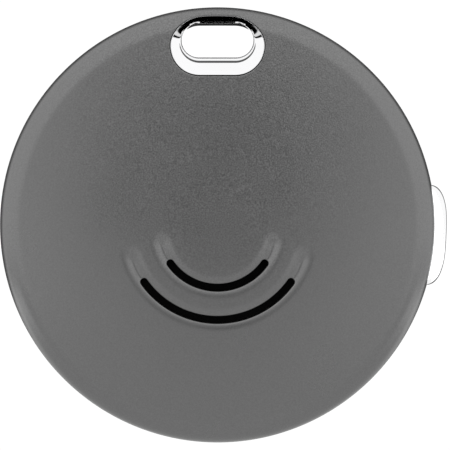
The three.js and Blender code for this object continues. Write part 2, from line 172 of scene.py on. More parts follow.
def grid_faces(rows, columns, close_rows=False):
    """Quads of a tube of points numbered ring by ring, each row one ring."""
    faces = []
    for i in range(rows if close_rows else rows - 1):
        for j in range(columns):
            k = (j + 1) % columns
            low, high = i * columns, ((i + 1) % rows) * columns
            faces.append((low + j, low + k, high + k, high + j))
    return faces


def capped_faces(rows, columns):
    """Quads of an open tube of points, with a face over each end."""
    last = (rows - 1) * columns
    ends = [tuple(range(columns)), tuple(range(last, last + columns))]
    return grid_faces(rows, columns) + ends


def merged(pieces):
    """The points and faces of several closed pieces as one."""
    points, faces, start = [], [], 0
    for some_points, some_faces in pieces:
        points.append(some_points)
        faces += [tuple(np.array(face) + start) for face in some_faces]
        start += len(some_points)
    return np.concatenate(points), faces


def lathe(profile, steps):
    """Points and quads of a profile of (radius, z) turned about the disc's axis, closed on itself."""
    turn = np.arange(steps) * TAU / steps
    points = [np.column_stack((r * np.cos(turn), r * np.sin(turn), np.full(steps, z))) for r, z in profile]
    return np.concatenate(points), grid_faces(len(profile), steps, close_rows=True)


def smooth_step(value, start, end):
    part = np.clip((value - start) / (end - start), 0, 1)
    return part * part * (3 - 2 * part)


def lip(distance, radius):
    """How far a rounded edge of this radius falls away at a distance from the edge."""
    inward = np.clip(radius - distance, 0, radius)
    return radius - np.sqrt(radius**2 - inward**2)


def inside(points, loop):
    """Which points lie inside a closed loop."""
    x, y = points[:, 0], points[:, 1]
    hit = np.zeros(len(points), dtype=bool)
    for (x0, y0), (x1, y1) in zip(loop, np.roll(loop, -1, axis=0)):
        if y0 == y1:
            continue
        across = ((y0 <= y) != (y1 <= y)) & (x < x0 + (y - y0) * (x1 - x0) / (y1 - y0))
        hit ^= across
    return hit


def distance_to(points, loop):
    """Distance of each point from the nearest edge of a closed loop."""
    best = np.full(len(points), np.inf)
    for a, b in zip(loop, np.roll(loop, -1, axis=0)):
        edge = b - a
        length = max(float(edge @ edge), 1e-12)
        part = np.clip(((points - a) @ edge) / length, 0, 1)
        gap = points - (a + part[:, None] * edge)
        best = np.minimum(best, np.hypot(gap[:, 0], gap[:, 1]))
    return best


def grown(loop, amount):
    """A closed loop moved outwards by an amount. It is taken anticlockwise."""
    before = np.roll(loop, 1, axis=0)
    after = np.roll(loop, -1, axis=0)
    along = after - before
    along /= np.linalg.norm(along, axis=1)[:, None]
    return loop + amount * np.column_stack((along[:, 1], -along[:, 0]))


def sheet_mesh(outline, holes, extra, lift, drop):
    """A closed plate over a flat outline with holes.

    outline, holes: loops in the plane; extra: more points in the plane; lift and drop give the
    outer and inner surface points for points of the plane.
    """
    loops = [outline, *holes]
    kept = extra[inside(extra, outline)]
    kept = kept[distance_to(kept, outline) > 0.03]
    for hole in holes:
        kept = kept[~inside(kept, hole)]
        kept = kept[distance_to(kept, hole) > 0.015]
    plane = np.concatenate([*loops, kept])
    edges = []
    start = 0
    for loop in loops:
        count = len(loop)
        edges += [(start + i, start + (i + 1) % count) for i in range(count)]
        start += count
    made = delaunay_2d_cdt([Vector(p) for p in plane], edges, [], 0, 1e-6, False)
    plane = np.array([(v.x, v.y) for v in made[0]])
    faces = np.array(made[2])
    middle = plane[faces].mean(axis=1)
    keep = inside(middle, outline)
    for hole in holes:
        keep &= ~inside(middle, hole)
    faces = faces[keep]
    count = len(plane)
    rim = {}
    for face in faces:
        for a, b in zip(face, np.roll(face, -1)):
            rim[(a, b)] = True
    walls = [(a, b, b + count, a + count) for a, b in rim if (b, a) not in rim]
    points = np.concatenate([lift(plane), drop(plane)])
    return points, [*map(tuple, faces), *(tuple(face[::-1] + count) for face in faces), *walls]


# --- Outer surfaces ---------------------------------------------------------------------------------

def front_profile(depth, low_z):
    """The face from the axis to the bottom of the side wall, `depth` inside it, as (radius, z)."""
    points = [(0.0, THICKNESS - depth)]
    for i in range(1, 61):
        turn = EDGE_TURN * i / 60
        reach = DOME_R - depth
        points.append((reach * math.sin(turn), THICKNESS - DOME_R + reach * math.cos(turn)))
    for i in range(1, 25):
        turn = EDGE_TURN + (math.pi / 2 - EDGE_TURN) * i / 24
        reach = EDGE_R - depth
        points.append((EDGE_CENTRE_R + reach * math.sin(turn), EDGE_CENTRE_Z + reach * math.cos(turn)))
    points.append((DISC_R - depth, low_z))
    return np.array(points)


def rear_profile(side_r, low_z):
    """The rear corner, from the axis along the flat back and round to the side wall."""
    points = [(0.0, low_z)]
    for i in range(41):
        turn = math.pi / 2 * i / 40
        radius = BACK_FLAT_R + (side_r - BACK_FLAT_R) * math.sin(turn)
        points.append((radius, SEAM_Z - (SEAM_Z - low_z) * math.cos(turn)))
    return np.array(points)


class Turned:
    """A turned surface rolled out flat: a point's distance from the middle is its way along the profile."""

    def __init__(self, outer, inner):
        steps = np.linalg.norm(np.diff(outer, axis=0), axis=1)
        self.way = np.concatenate([[0], np.cumsum(steps)])
        self.outer = outer
        self.inner = inner

    def roll_out(self, loop):
        radius = np.hypot(loop[:, 0], loop[:, 1])
        way = np.interp(radius, self.outer[:, 0], self.way)
        return loop * (way / np.maximum(radius, 1e-9))[:, None]

    def onto(self, plane, profile):
        way = np.hypot(plane[:, 0], plane[:, 1])
        radius = np.interp(way, self.way, profile[:, 0])
        z = np.interp(way, self.way, profile[:, 1])
        scale = radius / np.maximum(way, 1e-9)
        return np.column_stack((plane * scale[:, None], z))

    def at(self, radius_or_z, column):
        """The way along the profile at a radius (column 0) or at a height (column 1)."""
        values = self.outer[:, column]
        order = np.argsort(values)
        return float(np.interp(radius_or_z, values[order], self.way[order]))


def rings_of_points(radii, spacing):
    """Points on rings about the middle, about `spacing` apart, every other ring turned half a step."""
    rings = []
    for i, radius in enumerate(radii):
        count = max(6, int(round(TAU * radius / spacing)))
        turn = (np.arange(count) + 0.5 * (i % 2)) * TAU / count
        rings.append(np.column_stack((radius * np.cos(turn), radius * np.sin(turn))))
    return np.concatenate(rings)


# --- Key-ring slot ----------------------------------------------------------------------------------

def slot_outline(size, grow=0.0, bowed=0.0, end_steps=40, flat_steps=24):
    """An outline with round ends and a flat bottom, anticlockwise. Bowed, its top follows the rim."""
    width, height, centre_y = size
    end_r = height / 2 + grow
    half = (width - height) / 2
    right = arc(half, centre_y, end_r, DOWN, -DOWN, end_steps)
    left = arc(-half, centre_y, end_r, -DOWN, -3 * DOWN, end_steps)
    across = np.linspace(half, -half, flat_steps + 1)[1:-1]
    top = np.column_stack((across, np.full(len(across), centre_y + end_r)))
    bottom = np.column_stack((-across, np.full(len(across), centre_y - end_r)))
    outline = np.concatenate([right, top, left, bottom])
    fall = outline[:, 0] ** 2 / (2 * (centre_y + end_r))
    outline[:, 1] -= bowed * fall * np.maximum(0, (outline[:, 1] - centre_y) / end_r)
    return outline


def face_height(radius):
    profile = front_profile(0, SHELL_LOW_Z)
    return np.interp(radius, profile[:, 0], profile[:, 1])


def back_height(radius):
    profile = rear_profile(DISC_R, 0)
    return np.interp(radius, profile[:, 0], profile[:, 1])


def make_liner():
    """The chromed liner: a funnel down from the face, a rounded lip, the hole, and a flared rear edge."""
    land = 0.05
    wall = 0.35
    lip_depth, lip_power = 0.38, 1.6
    slope = 0.85
    flare = 0.24
    rim, throat, hole = slot_outline(RIM, 0, 1), slot_outline(THROAT), slot_outline(HOLE)
    rim_height = face_height(np.hypot(rim[:, 0], rim[:, 1]))
    # The funnel has one slope all round, so the throat leans as the domed face does.
    outward = grown(throat, 1) - throat
    throat_height = rim_height - slope * np.sum((rim - throat) * outward, axis=1)
    # Below, a lip leads into the hole, nearly flat at first; above, the slope runs on to the hole's edge.
    crisp = smooth_step(hole[:, 1], HOLE[2] - 0.3, HOLE[2] + 0.6)
    run_on = slope * np.maximum(0, np.sum((throat - hole) * outward, axis=1))
    collar = slot_outline(RIM, land, 1)
    collar_height = face_height(np.hypot(collar[:, 0], collar[:, 1]))
    tube = slot_outline(HOLE, wall)
    tube_height = back_height(np.hypot(tube[:, 0], tube[:, 1]))
    flat = np.ones(len(rim))
    stations = [(collar, COLLAR_Z * flat), (collar, collar_height - 0.04)]
    stations.append((0.7 * collar + 0.3 * rim, collar_height - 0.01))
    stations.append((0.4 * collar + 0.6 * rim, rim_height - 0.004))
    for part in np.linspace(0, 1, 15):
        outline = (1 - part) * rim + part * throat
        stations.append((outline, (1 - part) * (rim_height - 0.03) + part * throat_height))
    for turn in np.linspace(0, math.pi / 2, 14)[1:]:
        outline = throat + (hole - throat) * math.sin(turn)
        fall = (1 - crisp) * lip_depth * (1 - math.cos(turn)) ** lip_power + crisp * run_on * math.sin(turn)
        stations.append((outline, throat_height - fall))
    hole_height = throat_height - (1 - crisp) * lip_depth - crisp * run_on
    for part in np.linspace(0, 1, 8)[1:]:
        stations.append((hole, (1 - part) * hole_height + part * (tube_height + flare)))
    for turn in np.linspace(0, math.pi / 2, 9)[1:]:
        outline = slot_outline(HOLE, flare * (1 - math.cos(turn)))
        stations.append((outline, tube_height + flare * (1 - math.sin(turn))))
    stations += [(slot_outline(HOLE, wall - 0.03), tube_height), (tube, tube_height + 0.03)]
    stations.append((tube, COLLAR_Z * flat))
    points = np.concatenate([np.column_stack(station) for station in stations])
    faces = grid_faces(len(stations), len(rim), close_rows=True)
    add_mesh("slot_liner", points, faces, "housing", chrome, ["key_slot_liner"])


# --- Front shell ------------------------------------------------------------------------------------

def slit_outline(radius):
    """An arc slit with round ends, anticlockwise."""
    start, end = DOWN - SLIT_HALF_ANGLE, DOWN + SLIT_HALF_ANGLE
    half_width = SLIT_WIDTH / 2

    def cap(angle, turned_to):
        middle = (radius * math.cos(angle), SLIT_CENTRE_Y + radius * math.sin(angle))
        return arc(*middle, half_width, turned_to, turned_to + math.pi, 16)[1:-1]

    outer = arc(0, SLIT_CENTRE_Y, radius + half_width, start, end, 96)
    inner = arc(0, SLIT_CENTRE_Y, radius - half_width, end, start, 72)
    return np.concatenate([outer, cap(end, end), inner, cap(start, start + math.pi)])


def around_slits(points):
    """Distance of points from the slits' centre, and the angle away from straight below it."""
    x, y = points[:, 0], points[:, 1] - SLIT_CENTRE_Y
    return np.hypot(x, y), np.abs(np.arctan2(x, -y))


def groove_depth(points):
    """Depth of the shallow grooves that the slits lie in: steep beside the slit, gentle further out."""
    radius, from_down = around_slits(points)
    depth = np.zeros(len(points))
    for middle, fade in zip(SLIT_RADII, GROOVE_FADES):
        across = np.hypot((radius - middle) / (GROOVE_WIDTH / 2), 0.15)
        depth += GROOVE_DEPTH * np.clip(1 - across, 0, 1) ** 2 * (1 - smooth_step(from_down, *fade))
    return depth


def make_front_shell():
    outer = front_profile(0, SHELL_LOW_Z)
    surface = Turned(outer, front_profile(WALL, SHELL_LOW_Z))
    edge = surface.way[-1]
    gap = 0.05
    top = surface.at(BUTTON_Z[1] + gap, 1)
    half = (BUTTON_HALF_LENGTH + gap) / DISC_R
    corner = 0.35
    # The rim runs all round, and steps in over the button.
    around = np.linspace(BUTTON_ANGLE + half, BUTTON_ANGLE + TAU - half, 520)
    rim = np.column_stack((edge * np.cos(around), edge * np.sin(around)))
    notch = []
    for turn in np.linspace(0, math.pi / 2, 9):
        notch.append((-half + corner / DISC_R * (1 - math.cos(turn)), top + corner * (1 - math.sin(turn))))
    side = [(-half, way) for way in np.linspace(edge, top + corner, 12)[1:-1]]
    left = side + notch
    right = [(-angle, way) for angle, way in reversed(left)]
    over = [(angle, top) for angle in np.linspace(left[-1][0], right[0][0], 44)[1:-1]]
    step = np.array(left + over + right)
    turn = BUTTON_ANGLE + step[:, 0]
    opening = np.column_stack((step[:, 1] * np.cos(turn), step[:, 1] * np.sin(turn)))
    outline = np.concatenate([rim, opening])
    slits = [surface.roll_out(slit_outline(radius)) for radius in SLIT_RADII]
    liner_gap, slit_lip, slot_lip, rim_lip = 0.09, 0.08, 0.05, 0.07
    slot = surface.roll_out(slot_outline(RIM, liner_gap, 1))

    # Wide rings over the dome, close ones round the rounded edge, a fine fan over the grooves.
    dome_end = surface.at(EDGE_CENTRE_R, 0)
    wide_step, close_step, fan_step = 0.42, 0.09, 0.1
    fan_low, fan_high, fan_half = 3.1, 7.25, math.radians(90)
    wide = rings_of_points(np.arange(0.3, dome_end - 0.2, wide_step), wide_step)
    reach, from_down = around_slits(wide)
    in_fan = (reach > fan_low - 0.1) & (reach < fan_high + 0.05) & (from_down < fan_half + math.radians(2))
    close = rings_of_points(np.arange(dome_end - 0.15, edge - 0.05, close_step), 0.24)
    fan = [
        arc(0, SLIT_CENTRE_Y, radius, DOWN - fan_half, DOWN + fan_half, int(radius * 26))
        for radius in np.arange(fan_low, fan_high, fan_step)
    ]
    # Loops close beside each edge carry its rounding.
    near_slits = [grown(slit, gap) for slit in slits for gap in (0.02, 0.045, 0.075, 0.12)]
    near_slot = [grown(slot, gap) for gap in (0.02, 0.045, 0.1, 0.2)]
    near_rim = [grown(outline, -gap) for gap in (0.02, 0.045, 0.08)]
    field = np.concatenate([wide[~in_fan], close, *fan])
    for loop, clear in ((slits[0], 0.15), (slits[1], 0.15), (slot, 0.26), (outline, 0.12)):
        field = field[distance_to(field, loop) > clear]
    extra = np.concatenate([field, *near_slits, *near_slot, *near_rim])

    def lift(plane):
        outside = surface.onto(plane, surface.outer)
        behind = surface.onto(plane, surface.inner)
        depth = groove_depth(outside)
        for loop in slits:
            depth += lip(distance_to(plane, loop), slit_lip)
        depth += lip(distance_to(plane, slot), slot_lip)
        depth += lip(distance_to(plane, outline), rim_lip)
        return outside + (behind - outside) * (depth / WALL)[:, None]

    def drop(plane):
        return surface.onto(plane, surface.inner)

    points, faces = sheet_mesh(outline, [*slits, slot], extra, lift, drop)
    add_mesh("face_shell", points, faces, "housing", face_metal, ["front_shell"])


# --- Rear shell -------------------------------------------------------------------------------------

def make_rear_shell():
    outer, inner = rear_profile(DISC_R, 0), rear_profile(DISC_R - WALL, BACK_SKIN)
    surface = Turned(outer, inner)
    edge = surface.way[-1]
    outline = arc(0, 0, edge, 0, TAU, 420)[:-1]
    tube_gap, lug_gap, edge_lip = 0.39, 0.05, 0.06
    passage = surface.roll_out(slot_outline(HOLE, tube_gap))
    opening = []
    for angle in LUG_ANGLES:
        notch = arc(0, 0, LUG_R + lug_gap, angle - NOTCH_HALF_ANGLE, angle + NOTCH_HALF_ANGLE, 24)
        gap_end = angle + TAU / 3 - NOTCH_HALF_ANGLE
        opening += [notch, arc(0, 0, DOOR_OPENING_R, angle + NOTCH_HALF_ANGLE, gap_end, 84)]
    opening = np.concatenate(opening)
    # A ring and a dot pressed in, open and locked: circle, angle, inner and outer radius
    marks = [(12.15, math.radians(240), 0.2, 0.3), (12.15, math.radians(270), 0.0, 0.24)]
    mark_depth, mark_edge = 0.07, 0.08
    field = rings_of_points([10.95, 11.15, 11.37, *np.arange(11.6, edge - 0.05, 0.16)], 0.3)
    field = field[(distance_to(field, passage) > 0.16) & (distance_to(field, opening) > 0.1)]
    extra = []
    for radius, angle, _, outer_r in marks:
        middle = np.array([radius * math.cos(angle), radius * math.sin(angle)])
        field = field[np.hypot(*(field - middle).T) > outer_r + 0.1]
        extra.append(rings_of_points(np.arange(0.04, outer_r + 0.1, 0.04), 0.05) + middle)
    extra.append(field)
    extra += [grown(loop, gap) for loop in (passage, opening) for gap in (0.02, 0.045, 0.07)]
    extra += [grown(outline, -gap) for gap in (0.02, 0.045, 0.07)]

    def lift(plane):
        outside = surface.onto(plane, outer)
        depth = lip(distance_to(plane, passage), edge_lip) + lip(distance_to(plane, opening), edge_lip)
        depth += lip(distance_to(plane, outline), edge_lip)
        for radius, angle, inner_r, outer_r in marks:
            reach = np.hypot(plane[:, 0] - radius * math.cos(angle), plane[:, 1] - radius * math.sin(angle))
            pressed = smooth_step(outer_r - reach, 0, mark_edge)
            if inner_r:
                pressed = pressed * smooth_step(reach - inner_r + mark_edge, 0, mark_edge)
            depth += mark_depth * pressed
        through = surface.onto(plane, inner) - outside
        return outside + through * (depth / np.linalg.norm(through, axis=1))[:, None]

    def drop(plane):
        return surface.onto(plane, inner)

    points, faces = sheet_mesh(outline, [opening, passage], np.concatenate(extra), lift, drop)
    add_mesh("back_shell", points, faces, "housing", back_plastic, ["rear_shell"])


# --- Battery door -----------------------------------------------------------------------------------

def lug(angle, low_z, high_z):
    """A bayonet lug with rounded outer corners and a lead-in at each end."""
    inner_r = DOOR_R - 0.15
    bevel = 0.05
    lead_in, lead_in_part = 0.12, 0.15
    steps, columns = 25, 6
    points = []
    for part in np.linspace(-1, 1, steps):
        radius = LUG_R - lead_in * max(0, abs(part) - (1 - lead_in_part)) / lead_in_part
        turn = angle + part * LUG_HALF_ANGLE
        ring = [(inner_r, low_z), (radius - bevel, low_z), (radius, low_z + bevel)]
        ring += [(radius, high_z - bevel), (radius - bevel, high_z), (inner_r, high_z)]
        points += [(r * math.cos(turn), r * math.sin(turn), z) for r, z in ring]
    return np.array(points), capped_faces(steps, columns)


def make_door():
    top = drawn_box("battery_door")[1].z
    bevel = 0.12
    stack = [(0.0, 0.0), (DOOR_R - bevel, 0.0)]
    for turn in np.linspace(0, math.pi / 2, 7)[1:]:
        stack.append((DOOR_R - bevel + bevel * math.sin(turn), bevel - bevel * math.cos(turn)))
    outer = np.array([*stack, (DOOR_R, LUG_Z)])
    surface = Turned(outer, outer)
    edge = surface.way[-1]
    outline = arc(0, 0, edge, 0, TAU, 384)[:-1]
    length, width, slot_depth = COIN_SLOT
    slot = slot_outline((length, width, 0), end_steps=24, flat_steps=60)
    slot_lip, slot_edge = 0.05, 0.06
    ring_r, ring_width, ring_depth = 9.55, 0.16, 0.05
    mark_r, mark_depth, mark_edge = 0.3, 0.06, 0.1
    mark_angle = math.radians(240)
    mark = 8.85 * np.array([math.cos(mark_angle), math.sin(mark_angle)])
    field = rings_of_points(np.arange(0.3, edge - 0.04, 0.45), 0.45)
    reach = np.hypot(field[:, 0], field[:, 1])
    field = field[(distance_to(field, slot) > 0.25) & (np.abs(reach - ring_r) > 0.3)]
    field = field[(np.hypot(*(field - mark).T) > 0.45) & (np.hypot(*field.T) < DOOR_R - bevel - 0.1)]
    gaps = (-0.2, -0.1, -0.06, -0.03, -0.008, 0.008, 0.03, 0.06, 0.12)
    extra = [field, *[grown(slot, gap) for gap in gaps]]
    extra.append(rings_of_points(ring_r + np.linspace(-0.16, 0.16, 9), 0.2))
    extra.append(rings_of_points(np.arange(0.05, 0.36, 0.05), 0.07) + mark)
    extra.append(rings_of_points(surface.way[1:-1], 0.18))

    def lift(plane):
        points = surface.onto(plane, outer)
        distance = np.where(inside(plane, slot), -1, 1) * distance_to(plane, slot)
        depth = lip(np.maximum(distance, 0), slot_lip)
        sunk = slot_lip + (slot_depth - slot_lip) * smooth_step(-distance, 0, slot_edge)
        depth += np.where(distance < 0, sunk, 0)
        reach = np.hypot(plane[:, 0], plane[:, 1])
        depth += ring_depth * (1 - smooth_step(np.abs(reach - ring_r), ring_width / 4, ring_width / 2))
        depth += mark_depth * smooth_step(mark_r - np.hypot(*(plane - mark).T), 0, mark_edge)
        points[:, 2] += depth
        return points

    def drop(plane):
        way = np.hypot(plane[:, 0], plane[:, 1])
        scale = np.minimum(way, DOOR_R) / np.maximum(way, 1e-9)
        return np.column_stack((plane * scale[:, None], np.full(len(plane), top)))

    disc = sheet_mesh(outline, [], np.concatenate(extra), lift, drop)
    points, faces = merged([disc, *(lug(angle, LUG_Z, top) for angle in LUG_ANGLES)])
    piece = add_mesh("door", points, faces, "battery_door", door_steel, ["battery_door"])
    # The floor of the coin slot gets a dark material: painted shade, so that it reads as sunk below the door.
    piece.data.materials.append(slot_painted_shade)
    for face in piece.data.polygons:
        middle = drawn(face.center)
        in_slot = abs(middle.x) < length / 2 and abs(middle.y) < width / 2
        if in_slot and 0.6 * slot_depth < middle.z < 1.2 * slot_depth:
            face.material_index = 1


# --- Side button ------------------------------------------------------------------------------------

def turned_to_button(points):
    """Points drawn about +X, turned about the disc's axis to the button's angle."""
    c, s = math.cos(BUTTON_ANGLE), math.sin(BUTTON_ANGLE)
    x, y = points[:, 0], points[:, 1]
    return np.column_stack((c * x - s * y, s * x + c * y, points[:, 2:]))


def soft_box(low, high, bevel):
    """Points and faces of a box with chamfered edges along Z and at both ends."""

    def outline(inset):
        x0, y0, x1, y1 = low[0] + inset, low[1] + inset, high[0] - inset, high[1] - inset
        lower = [(x0 + bevel, y0), (x1 - bevel, y0), (x1, y0 + bevel), (x1, y1 - bevel)]
        return [*lower, (x1 - bevel, y1), (x0 + bevel, y1), (x0, y1 - bevel), (x0, y0 + bevel)]

    levels = [(bevel, low[2]), (0, low[2] + bevel), (0, high[2] - bevel), (bevel, high[2])]
    points = [(x, y, z) for inset, z in levels for x, y in outline(inset)]
    return np.array(points), capped_faces(4, 8)


def make_button():
    """A slim bar that bulges out of the side wall, rounded front and back, falling away at both ends."""
    root_x = 14.72  # where the rounded section starts, just inside the side wall
    corner = 0.4
    middle_z = sum(BUTTON_Z) / 2
    half_z = (BUTTON_Z[1] - BUTTON_Z[0]) / 2
    along = BUTTON_HALF_LENGTH * np.sin(np.linspace(-1, 1, 97) * math.pi / 2)
    section = np.linspace(-math.pi / 2, math.pi / 2, 41)
    rows = []
    for y in along:
        part = abs(y) / BUTTON_HALF_LENGTH
        out_x = BUTTON_BASE_X + BUTTON_PEAK * math.sqrt(1 - min(part, 1) ** 3)
        over = max(0, abs(y) - (BUTTON_HALF_LENGTH - corner))
        half = half_z - corner + math.sqrt(max(corner**2 - over**2, 0))
        row = [(BUTTON_INNER_X, y, middle_z - half), (root_x, y, middle_z - half)]
        for turn in section[1:-1]:
            row.append((root_x + (out_x - root_x) * math.cos(turn), y, middle_z + half * math.sin(turn)))
        row += [(root_x, y, middle_z + half), (BUTTON_INNER_X, y, middle_z + half)]
        rows.append(row)
    bar = np.array(rows).reshape(-1, 3), capped_faces(len(rows), len(rows[0]))
    points, faces = merged([bar, soft_box(*BUTTON_FLANGE, 0.04), soft_box(*BUTTON_STEM, 0.05)])
    add_mesh("button", turned_to_button(points), faces, "button", satin_chrome, ["button_cap"])


# --- Turned and flat inner pieces --------------------------------------------------------------------

def softened(profile, bevel, steps=4):
    """A closed profile with every corner off the axis rounded."""
    points = [np.array(p, dtype=float) for p in profile]
    out = []
    for i, corner in enumerate(points):
        if corner[0] < 1e-6:
            out.append(corner)
            continue
        before, after = points[i - 1] - corner, points[(i + 1) % len(points)] - corner
        reach = min(bevel, np.linalg.norm(before) * 0.45, np.linalg.norm(after) * 0.45)
        start = corner + before / np.linalg.norm(before) * reach
        end = corner + after / np.linalg.norm(after) * reach
        for part in np.linspace(0, 1, steps + 1):
            out.append((1 - part) ** 2 * start + 2 * part * (1 - part) * corner + part**2 * end)
    return out


def add_turned(name, profile, body, material, node, centre=(0, 0), bevel=0.04, steps=192):
    points, faces = lathe(softened(profile, bevel), steps)
    points[:, :2] += centre
    return add_mesh(name, points, faces, body, material, [node])


def square(inner, outer, low, high):
    return [(inner, low), (outer, low), (outer, high), (inner, high)]


def make_cell():
    """A coin cell: a stamped can, a moulded gasket and a cap, each with the pressed steps of a real one."""
    low, high = drawn_box("cell_can")
    radius, z0, z1 = high.x, low.z, high.z
    wall = 0.25
    can = [
        (0, z0 + 0.03), (7.6, z0 + 0.03), (7.75, z0), (radius - 0.55, z0), (radius - 0.12, z0 + 0.12),
        (radius, z0 + 0.5), (radius, z1 - 0.12), (radius - 0.08, z1), (radius - wall, z1),
        (radius - wall, z0 + 0.4), (radius - wall - 0.2, z0 + wall), (0, z0 + wall),
    ]
    add_turned("cell_can_stamped", can, "coin_cell", cell_steel, "cell_can", bevel=0.12, steps=256)
    low, high = drawn_box("cell_gasket")
    add_turned("cell_gasket_ring", square(9.3, high.x, low.z, high.z), "coin_cell", frame_plastic,
               "cell_gasket")
    low, high = drawn_box("cell_cap")
    z0, z1 = low.z, high.z
    cap = [
        (0, z1 - wall), (8.85, z1 - wall), (9.0, z1 - 0.4), (9.0, z0), (9.25, z0), (9.25, z1 - 0.35),
        (8.9, z1 - 0.02), (6.2, z1 - 0.02), (6.0, z1), (0, z1),
    ]
    add_turned("cell_cap_stamped", cap, "coin_cell", cell_steel, "cell_cap", bevel=0.1)
    low, high = drawn_box("cell_core")
    core = [(0, low.z), (high.x, low.z), (high.x, high.z), (0, high.z)]
    add_turned("cell_core_pellet", core, "coin_cell", epoxy, "cell_core")


def make_sounder():
    low, high = drawn_box("piezo_plate")
    centre = ((low.x + high.x) / 2, (low.y + high.y) / 2)
    for name, node, material, slot in (
        ("sounder_plate", "piezo_plate", brass, "brass"),
        ("sounder_ceramic", "piezo_ceramic", ceramic, "ceramic"),
    ):
        low, high = drawn_box(node)
        radius = (high.x - low.x) / 2
        disc = [(0, low.z), (radius, low.z), (radius, high.z), (0, high.z)]
        add_turned(name, disc, "housing", material, node, centre, 0.03, 128)
    low, high = drawn_box("sounder_gasket")
    radius = (high.x - low.x) / 2
    add_turned("sounder_foam", square(radius - 0.55, radius, low.z, high.z), "housing", rubber,
               "sounder_gasket", centre, 0.04, 128)


def make_door_seal():
    low, high = drawn_box("door_seal")
    add_turned("door_seal_ring", square(high.x - 0.4, high.x, low.z, high.z), "door_seal", rubber,
               "door_seal", bevel=0.06)


BITE = [(BITE_HALF_WIDTH, BITE_LOW_Y), (-BITE_HALF_WIDTH, BITE_LOW_Y)]


def bitten_circle(radius):
    """A circle with a square-cornered bite out of its top."""
    corner = math.acos(BITE_HALF_WIDTH / radius)
    return np.concatenate([arc(0, 0, radius, math.pi - corner, TAU + corner, 360), BITE])


def plate(outline, holes, low, high, lip_radius):
    """A flat plate between two heights whose edges are a little rounded."""
    extra = [grown(outline, -gap) for gap in (lip_radius / 3, lip_radius, 0.3)]
    extra += [grown(hole, gap) for hole in holes for gap in (lip_radius / 3, lip_radius)]

    def fall(points):
        loops = [outline, *holes]
        return sum(lip(distance_to(points, loop), lip_radius) for loop in loops)

    def lift(points):
        return np.column_stack((points, high - fall(points)))

    def drop(points):
        return np.column_stack((points, low + fall(points)))

    return sheet_mesh(outline, holes, np.concatenate(extra), lift, drop)


def screw_holes():
    return [
        circle(SCREW_CIRCLE_R * math.cos(angle), SCREW_CIRCLE_R * math.sin(angle), SCREW_HOLE_R)
        for angle in SCREW_ANGLES
    ]


def make_board():
    low, high = drawn_box("main_pcb")
    points, faces = plate(bitten_circle(high.x), screw_holes(), low.z, high.z, 0.02)
    add_mesh("circuit_board", points, faces, "housing", board, ["main_pcb"])


def make_frame():
    """The inner frame: a lower ring round the cell, and an upper one with the switch's pocket."""
    low, high = drawn_box("inner_frame")
    outer_r = high.x - FRAME_CLEARANCE
    holes = [circle(0, 0, FRAME_BAY_R, 300), *screw_holes()]
    pocket = turned_to_button(np.array(SWITCH_POCKET))
    start = math.asin(pocket[2, 1] / outer_r)
    end = math.asin(pocket[1, 1] / outer_r)
    corner = math.acos(BITE_HALF_WIDTH / outer_r)
    up_to_bite = arc(0, 0, outer_r, start, corner, 90)
    past_bite = arc(0, 0, outer_r, math.pi - corner, TAU + end, 300)
    upper_outline = np.concatenate([up_to_bite, BITE, past_bite, [pocket[0], pocket[3]]])
    lower = plate(bitten_circle(outer_r), holes, low.z, FRAME_STEP_Z, 0.06)
    upper = plate(upper_outline, holes, FRAME_STEP_Z, high.z, 0.05)
    points, faces = merged([lower, upper])
    add_mesh("cell_frame", points, faces, "housing", frame_plastic, ["inner_frame"])


def make_chips():
    """The parts on the board, each a chamfered block of the size of its CAD node."""
    looks = {
        "radio_chip": (epoxy, "chip"),
        "motion_sensor": (epoxy, "chip"),
        "crystal": (cell_steel, "steel"),
        "chip_antenna": (ceramic, "ceramic"),
    }
    looks.update({f"capacitor_{i}": (capacitor, "capacitor") for i in range(1, 6)})
    for node, (material, slot) in looks.items():
        points, faces = soft_box(*drawn_box(node), 0.04)
        add_mesh(f"{node}_body", points, faces, "housing", material, [node])


# --- Materials ---------------------------------------------------------------------------------------

CLOUD_SIZE = 14  # size of the soft patches in a finish, in grains


